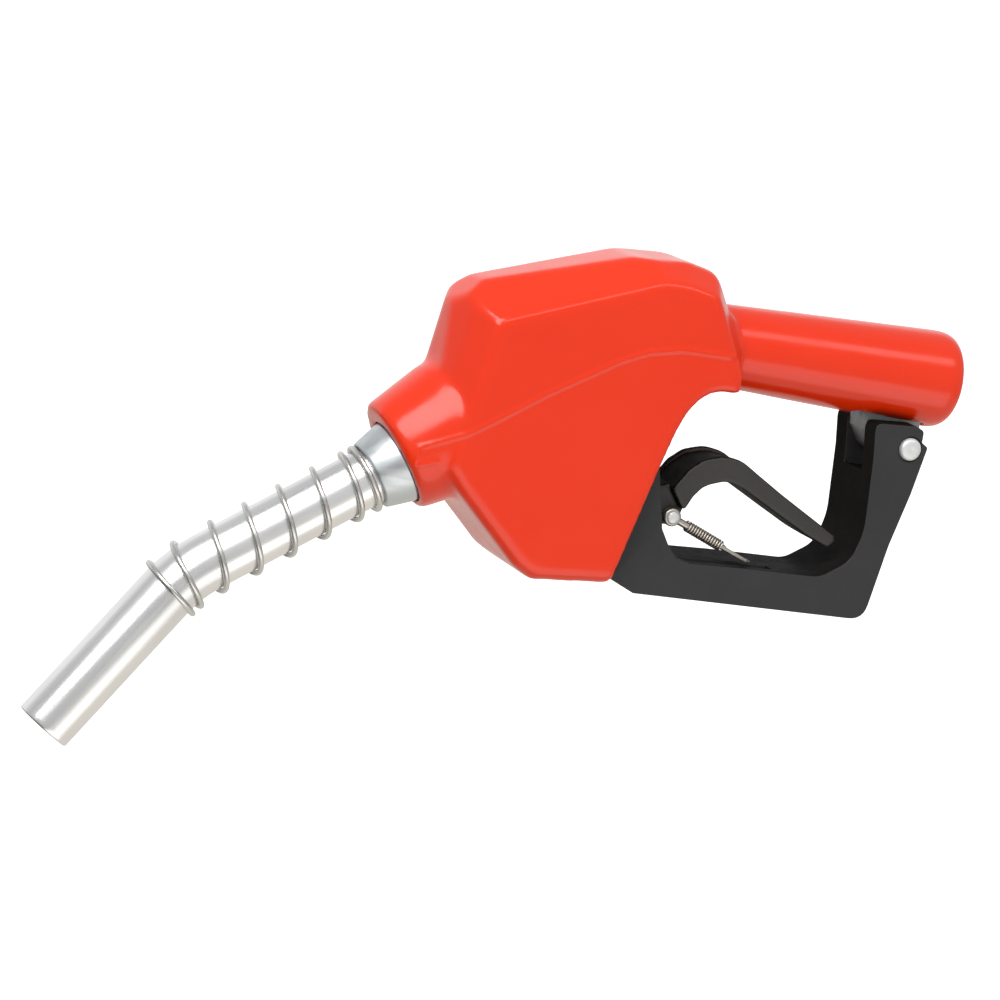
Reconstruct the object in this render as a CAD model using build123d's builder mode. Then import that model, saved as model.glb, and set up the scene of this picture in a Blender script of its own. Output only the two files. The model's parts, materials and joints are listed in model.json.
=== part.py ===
"""Automatic fuel nozzle: vinyl-covered aluminium body, bent spout, lever and hand guard.

Frame, in millimetres: the origin is the centre of the hose inlet's mouth, on the handle's
axis.  +X points out of the inlet, +Z is up with the handle level, and Y = 0 is the plane
of symmetry.  Most round parts lie on one of four lines in that plane: the handle's axis,
the main valve's axis, the latch plunger's axis and the spout's axis.
"""
from build123d import *
from math import cos, pi, radians, sin, tan
import os

# ---------------------------------------------------------------- driving dimensions
FIT = 0.05                     # radial clearance of a running fit
GAP = 0.1                      # clearance between neighbouring fixed pieces

# handle and hose inlet
HANDLE_R_INLET = 20.8          # outside of the cover at the inlet
HANDLE_TAPER = 0.034           # radius lost per millimetre towards the hood
HANDLE_END = 2.5               # the cover's rounded end stands past the mouth
HANDLE_FRONT = -118.0          # where the handle runs into the hood
COVER_WALL = 2.4
INLET_THREAD_R = 13.22         # major radius of a G 3/4 thread
INLET_THREAD_LENGTH = 18.0
FLOW_R = 10.5

# hood: side outline in X and Z, half width and bevels
HOOD_OUTLINE = [
    (-229, -30), (-228.5, 3), (-217, 12), (-157, 31.5), (-131, 33), (-122, 30.5), (-114, 15),
    (-111, -15), (-121, -20), (-128, -33), (-131, -47), (-143, -100), (-178, -104.5),
    (-187, -101), (-224, -70), (-229, -56),
]
HOOD_HALF = 28.0
HOOD_TOP_BEVEL = 11.5
HOOD_FRONT_BEVEL = 10.0

# main valve
VALVE_X = -132.0
CHAMBER_R = 11.5
CHAMBER_WALL = 3.5
SEAT_Z = -15.5
CHAMBER_TOP = 11.0
CHAMBER_FLOOR = -37.0
STEM_R = 3.0
STEM_END_Z = -60.0

# flow passage from the main valve to the spout
PASSAGE_HALF = 21.0
PASSAGE_WALL = 3.0

# latch plunger: leans forward, so that its head clears the main valve
FULCRUM = (-156.0, -70.0)
PLUNGER_TILT = 20.0
PLUNGER_R = 6.0
BOSS_R = 11.5
DIAPHRAGM_R = 19.0

# spout
SPOUT_ROOT = (-245.5, -75.0)   # axis point at the front face of the nut
SPOUT_DIP = 35.5               # degrees below level, near the body
TIP = (-360.7, -193.0)
TIP_DIP = 56.3                 # degrees below level, at the tip
SPOUT_BEND_R = 60.0
SPOUT_R = 11.9                 # 15/16 inch tube
SPOUT_WALL = 1.5
TUBE_START = -30.0             # tube end inside the body, along the spout's axis
NOSE_R = 17.4
NUT_FRONT_R = 14.3
NUT_REAR_R = 17.4
NUT_LENGTH = 12.0
NECK_OFFSET = 2.6              # the cover's neck is a little high on the spout's axis
NECK_MOUTH = -11.0
NECK_R = 22.6
NECK_ROOT = -38.0
NECK_ROOT_R = 27.4

# coil spring on the spout
WIRE_R = 1.2
COIL_R = 13.4
COIL_START = 1.35               # along the spout's axis, from the nut
COIL_CLOSE_PITCH = 2.6
COIL_PITCH = 15.55
COIL_END_TURNS = 0.5            # closed turns at each end
COIL_OPENING_TURNS = 1.4        # turns over which the pitch grows

# hand guard and lever
GUARD_HALF = 18.5
WING_INNER = 11.0
EAR_INNER = 8.4
LUG_HALF = 8.0
RIVET_AT = (-17.0, -29.0)
RIVET_R = 3.2
RIVET_HEAD_R = 4.6
LEVER_HALF = 12.5
WEB_HALF = 7.5
LEVER_PIN_R = 2.5
CLIP_PIVOT = (-115.0, -73.0)
CLIP_DIP = 20.6
CLIP_LENGTH = 42.0
CLIP_Y = -9.8

# ---------------------------------------------------------------- detail dimensions
REAR_MOUTH = [
    (-130, -14.2), (-116.5, -14.2), (-116.5, -19), (-120, -25), (-125, -60), (-139, -97.4),
    (-150, -97.4), (-136, -33),
]
LUG_SLOT = [(-36.5, -8), (-7.5, -8), (-7.5, -24), (-36.5, -24)]
LIP_R = 17.0                   # opening in the cover's rounded end
NECK_BACK = -60.0
UPPER_CHAMBER_Z = -19.5
LOWER_CHAMBER_R = 9.5
SEAT_HEIGHT = 4.0
SEAT_BORE = 8.0
GLAND_Z = -47.0
GLAND_R = 6.4
GLAND_BOSS_R = 9.4
PACKING_TOP = -39.5
POPPET_R = 10.6
POPPET_GUIDE_R = 4.0
DISC_TOP = -13.4
POPPET_TOP = -9.0
POPPET_GUIDE_TOP = 9.0
STEM_THREAD = 3.0
CAP_BOTTOM = 6.0
CAP_TOP = 20.0
CAP_FLANGE_R = 12.8
PASSAGE_OUTLINE = [(-199, -12), (-140, -12), (-130, -22), (-130, -40), (-199, -40)]
PASSAGE_HOLLOW = [(-196, -15), (-146, -15), (-146, -36), (-196, -36)]
PORT_OUTLINE = [(-147, -21), (-132, -21), (-132, -36), (-147, -36)]
PORT_HALF = 8.0
NOSE_BACK = -75.0
BORE_BACK = -66.0
BORE_R = 14.0
SPIGOT_R = 15.0
SPIGOT_END = -22.0
GASKET = 2.0
GASKET_R = 14.0
STRAINER_LENGTH = 26.0
BOSS_START = 21.0
FLANGE_START = 62.0
FLANGE_TOP = 74.0
BUSHING_R = 9.0
BUSHING_START = 24.0
BUSHING_TOP = 42.0
HEAD_START = 58.0
HEAD_TOP = 65.0
HEAD_R = 8.8
TONGUE_HALF = 4.4
BALL_AT = 61.5
LATCH_BALL_R = 1.8
LATCH_BALL_OUT = 5.6
LATCH_PIN_R = 3.4
DIAPHRAGM_THICK = 1.2
PLATE_TOP = 77.0
DCAP_TOP = 88.0
CAVITY_R = 13.5
SCREW_CIRCLE = 16.4
CAP_SCREW_R = 1.5
CAP_SCREW_HEAD_R = 2.4
CAP_SCREW_DEPTH = 7.0
PAD_INNER = 8.1
WING_SCREW_R = 2.0
WING_SCREW_AT = (-142.0, -52.5)
WING_PAD = [(-147.5, -57), (-137, -57), (-137, -39), (-147.5, -39)]
LUG_OUTLINE = [(-35, -14), (-34, -25), (-29, -32), (-23, -36), (-14, -36), (-10, -31), (-9, -14)]
ADAPTOR_BACK = -34.0
SEALS_AT = (-28.0, -25.0)
SEAL_R = 0.5
VENT_LIFT = 6.6
VENT_R = 2.2
CAGE_R = 3.6
CAGE_BACK = -22.0
CAGE_FRONT = -12.0
PORT_AT = -17.0
BALL_R = 2.4
CHECK_SEAT = -48.0
CHECK_DISC = 3.0
CHECK_STEM_R = 2.0
GUIDE_BACK = -38.0
GUIDE_FRONT = -35.0
COIL_TURNS = 8
COIL_STEPS = 12
GUARD_OUTLINE = [
    (-128, -50), (-148, -50), (-150, -88), (-144.5, -94), (-140.5, -100.5), (-129, -105.5),
    (-28, -104.2), (-22.5, -101.5), (-19.6, -95), (-16.8, -71), (-12, -48), (-9, -27), (-12, -21), (-16, -19),
    (-34, -20), (-36, -23), (-33, -36), (-30, -66), (-34, -79), (-46, -88), (-83, -89),
    (-106, -90), (-111, -89), (-118, -83), (-122, -77),
]
FORK_SLOT = [(-45, -10), (-5, -10), (-5, -42), (-45, -42)]
WING_SLOT = [(-160, -45), (-117, -45), (-117, -97), (-160, -97)]
CLIP_GROOVE = [(-112, -80), (-64, -80), (-64, -96), (-112, -96)]
GRIP_OUTLINE = [
    (-118, -61), (-112, -53), (-106, -48.5), (-97, -46), (-90, -46.8), (-80, -51), (-68, -57),
    (-40, -71), (-39, -73.5), (-42, -76.6), (-52, -73), (-67, -66), (-87, -56.5), (-95, -54.8),
    (-104, -58), (-108, -63), (-111, -70),
]
WEB_OUTLINE = [
    (-98, -50), (-112, -55), (-120, -60.6), (-128, -63), (-148, -64.5), (-156, -63.6),
    (-156, -76.4), (-140, -75.5), (-125, -74), (-118, -77), (-112, -77), (-110, -72), (-108, -64), (-98, -56),
]
TONGUE_SLOT = [(-170, -55), (-147, -55), (-147, -85), (-170, -85)]
PAD_AT = (-132.0, -66.2)
PAD_R = 5.8
FORK_R = 6.4
CLIP_RIVET_R = 1.6
CLIP_HUB_R = 4.0
SHANK_R = 1.5
BLADE_START = 27.0

# ---------------------------------------------------------------- reference planes
SIDE = Plane.XZ
UP = (Align.CENTER, Align.CENTER, Align.MIN)
inlet_axis = Plane(origin=(0, 0, 0), x_dir=(0, 1, 0), z_dir=(1, 0, 0))
valve_axis = Plane(origin=(VALVE_X, 0, 0), x_dir=(1, 0, 0), z_dir=(0, 0, 1))
plunger_dir = (-sin(radians(PLUNGER_TILT)), 0, cos(radians(PLUNGER_TILT)))
plunger_axis = Plane(origin=(FULCRUM[0], 0, FULCRUM[1]), x_dir=(0, 1, 0), z_dir=plunger_dir)
spout_dir = (-cos(radians(SPOUT_DIP)), 0, -sin(radians(SPOUT_DIP)))
tip_dir = (-cos(radians(TIP_DIP)), 0, -sin(radians(TIP_DIP)))
spout_axis = Plane(origin=(SPOUT_ROOT[0], 0, SPOUT_ROOT[1]), x_dir=(0, 1, 0), z_dir=spout_dir)
tip_axis = Plane(origin=(TIP[0], 0, TIP[1]), x_dir=(0, 1, 0), z_dir=tip_dir)

neck_axis = Plane(
    origin=(
        SPOUT_ROOT[0] - sin(radians(SPOUT_DIP)) * NECK_OFFSET, 0,
        SPOUT_ROOT[1] + cos(radians(SPOUT_DIP)) * NECK_OFFSET,
    ),
    x_dir=(0, 1, 0), z_dir=spout_dir,
)
cage_axis = Plane(
    origin=(
        TIP[0] - sin(radians(TIP_DIP)) * VENT_LIFT, 0, TIP[1] + cos(radians(TIP_DIP)) * VENT_LIFT,
    ),
    x_dir=(0, 1, 0), z_dir=tip_dir,
)
clip_dir = (cos(radians(CLIP_DIP)), 0, -sin(radians(CLIP_DIP)))
shank_axis = Plane(
    origin=(CLIP_PIVOT[0], CLIP_Y, CLIP_PIVOT[1]), x_dir=(0, 1, 0), z_dir=clip_dir,
)


def cross_axis(place):
    """Plane whose normal runs across the nozzle, along +Y, through a place in X and Z."""
    return Plane(origin=(place[0], 0, place[1]), x_dir=(1, 0, 0), z_dir=(0, 1, 0))


rivet_axis = cross_axis(RIVET_AT)
wing_screw_axis = cross_axis(WING_SCREW_AT)
fulcrum_axis = cross_axis(FULCRUM)
pad_axis = cross_axis(PAD_AT)
clip_axis = cross_axis(CLIP_PIVOT)

# length of the spout's first straight run, from the nut to the corner of the two axes
_dx = TIP[0] - SPOUT_ROOT[0]
_dz = TIP[1] - SPOUT_ROOT[1]
_turn = radians(TIP_DIP - SPOUT_DIP)
CORNER = (_dx * tip_dir[2] - _dz * tip_dir[0]) / (spout_dir[0] * tip_dir[2] - spout_dir[2] * tip_dir[0])
BEND_TANGENT = SPOUT_BEND_R * tan(_turn / 2)


# ---------------------------------------------------------------- helpers
def rod(plane, start, end, radius, mode=Mode.ADD):
    """A round bar along a plane's normal, added to or cut from the part being built."""
    with Locations(plane.offset(min(start, end))):
        Cylinder(radius, abs(end - start), align=UP, mode=mode)


def cone(plane, start, end, radius_start, radius_end, mode=Mode.ADD):
    """A taper along a plane's normal."""
    with Locations(plane.offset(start)):
        Cone(radius_start, radius_end, end - start, align=UP, mode=mode)


def ring(plane, start, end, outer, inner):
    """A tube along a plane's normal."""
    rod(plane, start, end, outer)
    rod(plane, start, end, inner, Mode.SUBTRACT)


def plate(outline, y_low, y_high, mode=Mode.ADD):
    """A flat plate with an outline in X and Z, from y_low to y_high."""
    with BuildSketch(SIDE.offset(-y_high)) as face:
        with BuildLine():
            Polyline(*outline, close=True)
        make_face()
    extrude(face.sketch, amount=y_high - y_low, mode=mode)


def spring(plane, start, end, radius, wire, pitch):
    """A plain compression spring, its centre line from start to end along the normal."""
    with BuildPart() as coil:
        with BuildLine() as path:
            Helix(pitch=pitch, height=end - start, radius=radius)
        with BuildSketch(Plane(origin=path.line @ 0, z_dir=path.line % 0)):
            Circle(wire)
        sweep(is_frenet=True)
    return coil.part.moved(plane.offset(start).location)


def save(part, name):
    """Label a finished piece and write it as its own STEP file."""
    part.label = name
    export_step(part, f"parts/{name}.step")


def handle_r(x):
    """Outside radius of the covered handle at a place along it."""
    return HANDLE_R_INLET + HANDLE_TAPER * x


def spout_point(s, lift=0.0):
    """Point of the spout's bent centre line at arc length s from the nut, lifted in plane."""
    first = CORNER - BEND_TANGENT
    turn = min(max(s - first, 0) / SPOUT_BEND_R, _turn)
    dip = radians(SPOUT_DIP) + turn
    x = SPOUT_ROOT[0] + spout_dir[0] * min(s, first)
    z = SPOUT_ROOT[1] + spout_dir[2] * min(s, first)
    x -= SPOUT_BEND_R * (sin(dip) - sin(radians(SPOUT_DIP)))
    z += SPOUT_BEND_R * (cos(dip) - cos(radians(SPOUT_DIP)))
    past = max(s - first - SPOUT_BEND_R * _turn, 0)
    x += tip_dir[0] * past - sin(dip) * lift
    z += tip_dir[2] * past + cos(dip) * lift
    return (x, z)


def run_point(s, lift=0.0):
    """Point on the spout's first straight run."""
    x, z = spout_point(s, lift)
    return (x, 0, z)


def tip_point(s, lift=0.0):
    """Point on the spout's last run, s from the tip along its direction."""
    dip = radians(TIP_DIP)
    return (TIP[0] + tip_dir[0] * s - sin(dip) * lift, 0, TIP[1] + tip_dir[2] * s + cos(dip) * lift)


def corner_point(lift):
    """Where the two runs would meet, each lifted in the plane of the bend."""
    dip = radians((SPOUT_DIP + TIP_DIP) / 2)
    out = lift / cos(_turn / 2)
    return (
        SPOUT_ROOT[0] + spout_dir[0] * CORNER - sin(dip) * out, 0,
        SPOUT_ROOT[1] + spout_dir[2] * CORNER + cos(dip) * out,
    )


os.makedirs("parts", exist_ok=True)


# ---------------------------------------------------------------- vinyl cover
def hood_solid(inset):
    """The hood's form, or, inset by the wall, its hollow."""
    half = HOOD_HALF - inset
    front = HOOD_OUTLINE[0][0] + inset
    thicker = 0.6 * inset      # keeps the wall whole where two bevels meet
    with BuildPart() as hood:
        with BuildSketch(SIDE):
            with BuildLine():
                Polyline(*HOOD_OUTLINE, close=True)
            make_face()
            if inset:
                offset(amount=-inset)
        extrude(amount=half, both=True)
        rims = hood.edges().filter_by(lambda e: abs(abs(e.center().Y) - half) < 0.01)
        top = rims.filter_by(lambda e: e.center().Z > 7 and e.center().X < -119)
        chamfer(top, length=HOOD_TOP_BEVEL + thicker)
        bevel = HOOD_FRONT_BEVEL + thicker
        for side in (-1, 1):
            with BuildSketch(Plane.XY):
                with BuildLine():
                    Polyline(
                        (front - 1, side * (half - bevel - 1)), (front + bevel + 1, side * (half + 1)),
                        (front - 1, side * (half + 1)), close=True,
                    )
                make_face()
            extrude(amount=200, both=True, mode=Mode.SUBTRACT)
    return hood.part


def covered_form(inset):
    """Hood, neck and handle together, or their hollow."""
    with BuildPart() as form:
        add(hood_solid(inset))
        cone(inlet_axis, HANDLE_FRONT, 0, handle_r(HANDLE_FRONT) - inset, handle_r(0) - inset)
        cone(neck_axis, NECK_ROOT, NECK_MOUTH, NECK_ROOT_R - inset, NECK_R - inset)
        rod(neck_axis, NECK_ROOT, NECK_BACK, NECK_ROOT_R - inset)
    return form.part


with BuildPart() as body_cover:
    add(covered_form(0))
    rod(inlet_axis, 0, HANDLE_END, handle_r(0))
    rim = body_cover.faces().sort_by(Axis.X)[-1].outer_wire().edges()
    fillet(rim, radius=HANDLE_END - 0.1)
    add(covered_form(COVER_WALL), mode=Mode.SUBTRACT)
    rod(inlet_axis, 0, HANDLE_END, LIP_R, Mode.SUBTRACT)
    rod(neck_axis, NECK_MOUTH - 3, NECK_MOUTH + 5, NECK_R - COVER_WALL, Mode.SUBTRACT)
    plate(REAR_MOUTH, -HOOD_HALF + COVER_WALL, HOOD_HALF - COVER_WALL, Mode.SUBTRACT)
    plate(LUG_SLOT, -LUG_HALF - GAP, LUG_HALF + GAP, Mode.SUBTRACT)
save(body_cover.part, "body_cover")


# ---------------------------------------------------------------- body casting
with BuildPart() as body_casting:
    # handle tube
    cone(
        inlet_axis, HANDLE_FRONT, 0,
        handle_r(HANDLE_FRONT) - COVER_WALL - GAP, handle_r(0) - COVER_WALL - GAP,
    )
    # main valve chamber, the lower chamber under its seat and the gland boss
    rod(valve_axis, UPPER_CHAMBER_Z, CHAMBER_TOP, CHAMBER_R + CHAMBER_WALL)
    rod(valve_axis, CHAMBER_FLOOR - 4, UPPER_CHAMBER_Z, LOWER_CHAMBER_R + CHAMBER_WALL)
    rod(valve_axis, GLAND_Z, CHAMBER_FLOOR, GLAND_BOSS_R)
    # flow passage, nose, plunger boss and diaphragm flange
    plate(PASSAGE_OUTLINE, -PASSAGE_HALF, PASSAGE_HALF)
    rod(spout_axis, NOSE_BACK, -NUT_LENGTH, NOSE_R)
    rod(plunger_axis, BOSS_START, FLANGE_TOP, BOSS_R)
    rod(plunger_axis, FLANGE_START, FLANGE_TOP, DIAPHRAGM_R)
    # ears for the guard's wings, and the rear lug
    plate(WING_PAD, PAD_INNER, WING_INNER - GAP)
    plate(WING_PAD, -WING_INNER + GAP, -PAD_INNER)
    plate(LUG_OUTLINE, -LUG_HALF, LUG_HALF)
    # hollows
    rod(inlet_axis, -INLET_THREAD_LENGTH, 0, INLET_THREAD_R, Mode.SUBTRACT)
    rod(inlet_axis, -INLET_THREAD_LENGTH - GASKET, -INLET_THREAD_LENGTH, GASKET_R, Mode.SUBTRACT)
    rod(inlet_axis, VALVE_X + CHAMBER_R - 1.5, 0, FLOW_R, Mode.SUBTRACT)
    rod(valve_axis, SEAT_Z - SEAT_HEIGHT, CHAMBER_TOP, CHAMBER_R, Mode.SUBTRACT)
    rod(valve_axis, CHAMBER_FLOOR, SEAT_Z, LOWER_CHAMBER_R, Mode.SUBTRACT)
    rod(valve_axis, GLAND_Z, CHAMBER_FLOOR, STEM_R + 0.4, Mode.SUBTRACT)
    rod(valve_axis, GLAND_Z, PACKING_TOP, GLAND_R + FIT, Mode.SUBTRACT)
    plate(
        PASSAGE_HOLLOW, -PASSAGE_HALF + PASSAGE_WALL, PASSAGE_HALF - PASSAGE_WALL, Mode.SUBTRACT,
    )
    plate(PORT_OUTLINE, -PORT_HALF, PORT_HALF, Mode.SUBTRACT)
    rod(spout_axis, BORE_BACK, -NUT_LENGTH, BORE_R, Mode.SUBTRACT)
    rod(spout_axis, SPIGOT_END, -NUT_LENGTH, SPIGOT_R + FIT, Mode.SUBTRACT)
    # plunger boss through the flow passage, then its bore
    rod(plunger_axis, BOSS_START + 1, FLANGE_START, BOSS_R)
    rod(plunger_axis, BOSS_START, FLANGE_TOP, BUSHING_R + FIT, Mode.SUBTRACT)
    rod(plunger_axis, FLANGE_TOP - 4, FLANGE_TOP, CAVITY_R, Mode.SUBTRACT)
    # fastener holes
    with Locations(plunger_axis.offset(FLANGE_TOP)):
        with PolarLocations(SCREW_CIRCLE, 4, start_angle=45):
            Cylinder(CAP_SCREW_R + FIT, 2 * CAP_SCREW_DEPTH, mode=Mode.SUBTRACT)
    rod(rivet_axis, -LUG_HALF, LUG_HALF, RIVET_R + FIT, Mode.SUBTRACT)
    rod(wing_screw_axis, -WING_INNER, WING_INNER, WING_SCREW_R + FIT, Mode.SUBTRACT)
save(body_casting.part, "body_casting")


# ---------------------------------------------------------------- hose inlet
with BuildPart() as inlet_gasket:
    ring(inlet_axis, -INLET_THREAD_LENGTH - GASKET, -INLET_THREAD_LENGTH, GASKET_R - GAP, FLOW_R)
save(inlet_gasket.part, "inlet_gasket")

with BuildPart() as inlet_strainer:
    strainer_start = -INLET_THREAD_LENGTH - GASKET - STRAINER_LENGTH
    rod(inlet_axis, strainer_start, -INLET_THREAD_LENGTH - GASKET, FLOW_R - GAP)
    rod(inlet_axis, strainer_start + 1, -INLET_THREAD_LENGTH - GASKET, FLOW_R - 1, Mode.SUBTRACT)
    for row in range(3):
        with Locations(inlet_axis.offset(strainer_start + 5 + 7 * row)):
            with PolarLocations(0, 4, angular_range=180):
                Cylinder(1.6, 4 * FLOW_R, rotation=(90, 0, 0), mode=Mode.SUBTRACT)
save(inlet_strainer.part, "inlet_strainer")


# ---------------------------------------------------------------- main valve
with BuildPart() as main_valve_seat:
    ring(valve_axis, SEAT_Z - SEAT_HEIGHT, SEAT_Z, CHAMBER_R - FIT, SEAT_BORE)
save(main_valve_seat.part, "main_valve_seat")

with BuildPart() as main_valve_disc:
    ring(valve_axis, SEAT_Z + GAP, DISC_TOP, POPPET_R - 0.6, STEM_R)
save(main_valve_disc.part, "main_valve_disc")

with BuildPart() as main_valve_poppet:
    rod(valve_axis, DISC_TOP, POPPET_TOP, POPPET_R)
    rod(valve_axis, POPPET_TOP, POPPET_GUIDE_TOP, POPPET_GUIDE_R)
    rod(valve_axis, DISC_TOP, DISC_TOP + STEM_THREAD, STEM_R, Mode.SUBTRACT)
save(main_valve_poppet.part, "main_valve_poppet")

with BuildPart() as main_valve_stem:
    rod(valve_axis, STEM_END_Z, DISC_TOP + STEM_THREAD, STEM_R)
    chamfer(main_valve_stem.edges().group_by(Axis.Z)[0], length=0.8)
save(main_valve_stem.part, "main_valve_stem")

save(spring(valve_axis, POPPET_TOP + 0.8, CAP_BOTTOM - 0.8, 7.4, 0.75, 4.2), "main_spring")

with BuildPart() as main_cap_seal:
    ring(valve_axis, CHAMBER_TOP, CHAMBER_TOP + 1, CHAMBER_R + 2.5, CHAMBER_R)
save(main_cap_seal.part, "main_cap_seal")

with BuildPart() as main_cap:
    rod(valve_axis, CAP_BOTTOM, CHAMBER_TOP + 1, CHAMBER_R - FIT)
    with BuildSketch(valve_axis.offset(CHAMBER_TOP + 1)):
        RegularPolygon(CAP_FLANGE_R, 6)
    extrude(amount=CAP_TOP - CHAMBER_TOP - 1)
    rod(valve_axis, CAP_BOTTOM, CAP_TOP - 1.5, POPPET_GUIDE_R + FIT, Mode.SUBTRACT)
save(main_cap.part, "main_cap")

with BuildPart() as stem_packing:
    ring(valve_axis, PACKING_TOP - 2, PACKING_TOP, GLAND_R, STEM_R + FIT)
save(stem_packing.part, "stem_packing")

with BuildPart() as stem_gland:
    rod(valve_axis, GLAND_Z, PACKING_TOP - 2, GLAND_R)
    with BuildSketch(valve_axis.offset(GLAND_Z - 2.5)):
        RegularPolygon(GLAND_BOSS_R - 1, 6)
    extrude(amount=2.5)
    rod(valve_axis, GLAND_Z - 2.5, PACKING_TOP - 2, STEM_R + FIT, Mode.SUBTRACT)
save(stem_gland.part, "stem_gland")


# ---------------------------------------------------------------- latch plunger and diaphragm
with BuildPart() as plunger_bushing:
    ring(plunger_axis, BUSHING_START, BUSHING_TOP, BUSHING_R, PLUNGER_R + FIT)
save(plunger_bushing.part, "plunger_bushing")

save(spring(plunger_axis, BUSHING_TOP + 0.7, HEAD_START - 0.7, 7.5, 0.6, 2.6), "plunger_spring")

with BuildPart() as latch_plunger:
    rod(plunger_axis, -PLUNGER_R, HEAD_TOP, PLUNGER_R)
    rod(plunger_axis, HEAD_START, HEAD_TOP, HEAD_R)
    rod(plunger_axis, HEAD_START - 4, HEAD_TOP, LATCH_PIN_R + FIT, Mode.SUBTRACT)
    for side in (-1, 1):
        with Locations(plunger_axis):
            with Locations((side * (TONGUE_HALF + 5), 0, 0)):
                Box(10, 30, 20, mode=Mode.SUBTRACT)
    with Locations(plunger_axis.offset(BALL_AT)):
        with PolarLocations(LATCH_BALL_OUT, 3):
            Sphere(LATCH_BALL_R + FIT, mode=Mode.SUBTRACT)
    rod(fulcrum_axis, -PLUNGER_R, PLUNGER_R, LEVER_PIN_R, Mode.SUBTRACT)
save(latch_plunger.part, "latch_plunger")

with BuildPart() as latch_balls:
    with Locations(plunger_axis.offset(BALL_AT)):
        with PolarLocations(LATCH_BALL_OUT, 3):
            Sphere(LATCH_BALL_R)
save(latch_balls.part, "latch_balls")

with BuildPart() as lever_pin:
    rod(fulcrum_axis, -WEB_HALF - 0.7, WEB_HALF + 0.7, LEVER_PIN_R)
save(lever_pin.part, "lever_pin")

with BuildPart() as latch_pin:
    rod(plunger_axis, HEAD_START - 2, PLATE_TOP, LATCH_PIN_R)
    rod(plunger_axis, PLATE_TOP, PLATE_TOP + 2.2, LATCH_PIN_R + 1.6)
save(latch_pin.part, "latch_pin")

with BuildPart() as diaphragm:
    ring(plunger_axis, FLANGE_TOP, FLANGE_TOP + DIAPHRAGM_THICK, DIAPHRAGM_R, LATCH_PIN_R + GAP)
    with Locations(plunger_axis.offset(FLANGE_TOP)):
        with PolarLocations(SCREW_CIRCLE, 4, start_angle=45):
            Cylinder(CAP_SCREW_R + FIT, 10, mode=Mode.SUBTRACT)
save(diaphragm.part, "diaphragm")

with BuildPart() as diaphragm_plate:
    ring(plunger_axis, FLANGE_TOP + DIAPHRAGM_THICK + GAP, PLATE_TOP, 11, LATCH_PIN_R)
save(diaphragm_plate.part, "diaphragm_plate")

with BuildPart() as diaphragm_cap:
    rod(plunger_axis, FLANGE_TOP + DIAPHRAGM_THICK, DCAP_TOP, DIAPHRAGM_R)
    rod(plunger_axis, FLANGE_TOP + DIAPHRAGM_THICK, DCAP_TOP - 2.5, CAVITY_R, Mode.SUBTRACT)
    with Locations(plunger_axis.offset(FLANGE_TOP)):
        with PolarLocations(SCREW_CIRCLE, 4, start_angle=45):
            Cylinder(CAP_SCREW_R + FIT, 60, mode=Mode.SUBTRACT)
save(diaphragm_cap.part, "diaphragm_cap")

save(spring(plunger_axis, PLATE_TOP + 0.6, DCAP_TOP - 3.1, 7.4, 0.5, 2.6), "diaphragm_spring")

with BuildPart() as diaphragm_cap_screws:
    with Locations(plunger_axis.offset(FLANGE_TOP - CAP_SCREW_DEPTH + 0.5)):
        with PolarLocations(SCREW_CIRCLE, 4, start_angle=45):
            Cylinder(CAP_SCREW_R, DCAP_TOP - FLANGE_TOP + CAP_SCREW_DEPTH - 0.5, align=UP)
    with Locations(plunger_axis.offset(DCAP_TOP)):
        with PolarLocations(SCREW_CIRCLE, 4, start_angle=45):
            Cylinder(CAP_SCREW_HEAD_R, 2.2, align=UP)
save(diaphragm_cap_screws.part, "diaphragm_cap_screws")


# ---------------------------------------------------------------- spout
with BuildPart() as spout_nut:
    cone(spout_axis, -NUT_LENGTH, 0, NUT_REAR_R, NUT_FRONT_R)
    rod(spout_axis, SPIGOT_END, -NUT_LENGTH, SPIGOT_R)
    rod(spout_axis, SPIGOT_END, 0, SPOUT_R + GAP, Mode.SUBTRACT)
save(spout_nut.part, "spout_nut")

with BuildPart() as spout_adaptor:
    rod(spout_axis, ADAPTOR_BACK, SPIGOT_END, BORE_R - FIT)
    rod(spout_axis, ADAPTOR_BACK, SPIGOT_END, 9, Mode.SUBTRACT)
    rod(spout_axis, TUBE_START, SPIGOT_END, SPOUT_R + FIT, Mode.SUBTRACT)
    for seal in SEALS_AT:
        rod(spout_axis, seal - SEAL_R, seal + SEAL_R, SPOUT_R + 2 * SEAL_R, Mode.SUBTRACT)
save(spout_adaptor.part, "spout_adaptor")

with BuildPart() as spout_seals:
    for seal in SEALS_AT:
        with Locations(spout_axis.offset(seal)):
            Torus(SPOUT_R + SEAL_R, SEAL_R)
save(spout_seals.part, "spout_seals")

with BuildPart() as spout_tube:
    with BuildLine() as spout_line:
        FilletPolyline(run_point(TUBE_START), corner_point(0), tip_point(0), radius=SPOUT_BEND_R)
    with BuildSketch(spout_axis.offset(TUBE_START)):
        Circle(SPOUT_R)
        Circle(SPOUT_R - SPOUT_WALL, mode=Mode.SUBTRACT)
    sweep(path=spout_line.line)
    with Locations(cage_axis.offset(PORT_AT)):
        Cylinder(1.5, 14, rotation=(0, 90, 0), align=UP, mode=Mode.SUBTRACT)
save(spout_tube.part, "spout_tube")

with BuildPart() as vent_tube:
    with BuildLine() as vent_line:
        FilletPolyline(
            run_point(ADAPTOR_BACK, VENT_LIFT), corner_point(VENT_LIFT), tip_point(CAGE_BACK, VENT_LIFT),
            radius=SPOUT_BEND_R + VENT_LIFT,
        )
    with BuildSketch(Plane(origin=vent_line.line @ 0, x_dir=(0, 1, 0), z_dir=spout_dir)):
        Circle(VENT_R)
        Circle(VENT_R - 0.6, mode=Mode.SUBTRACT)
    sweep(path=vent_line.line)
save(vent_tube.part, "vent_tube")

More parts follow.
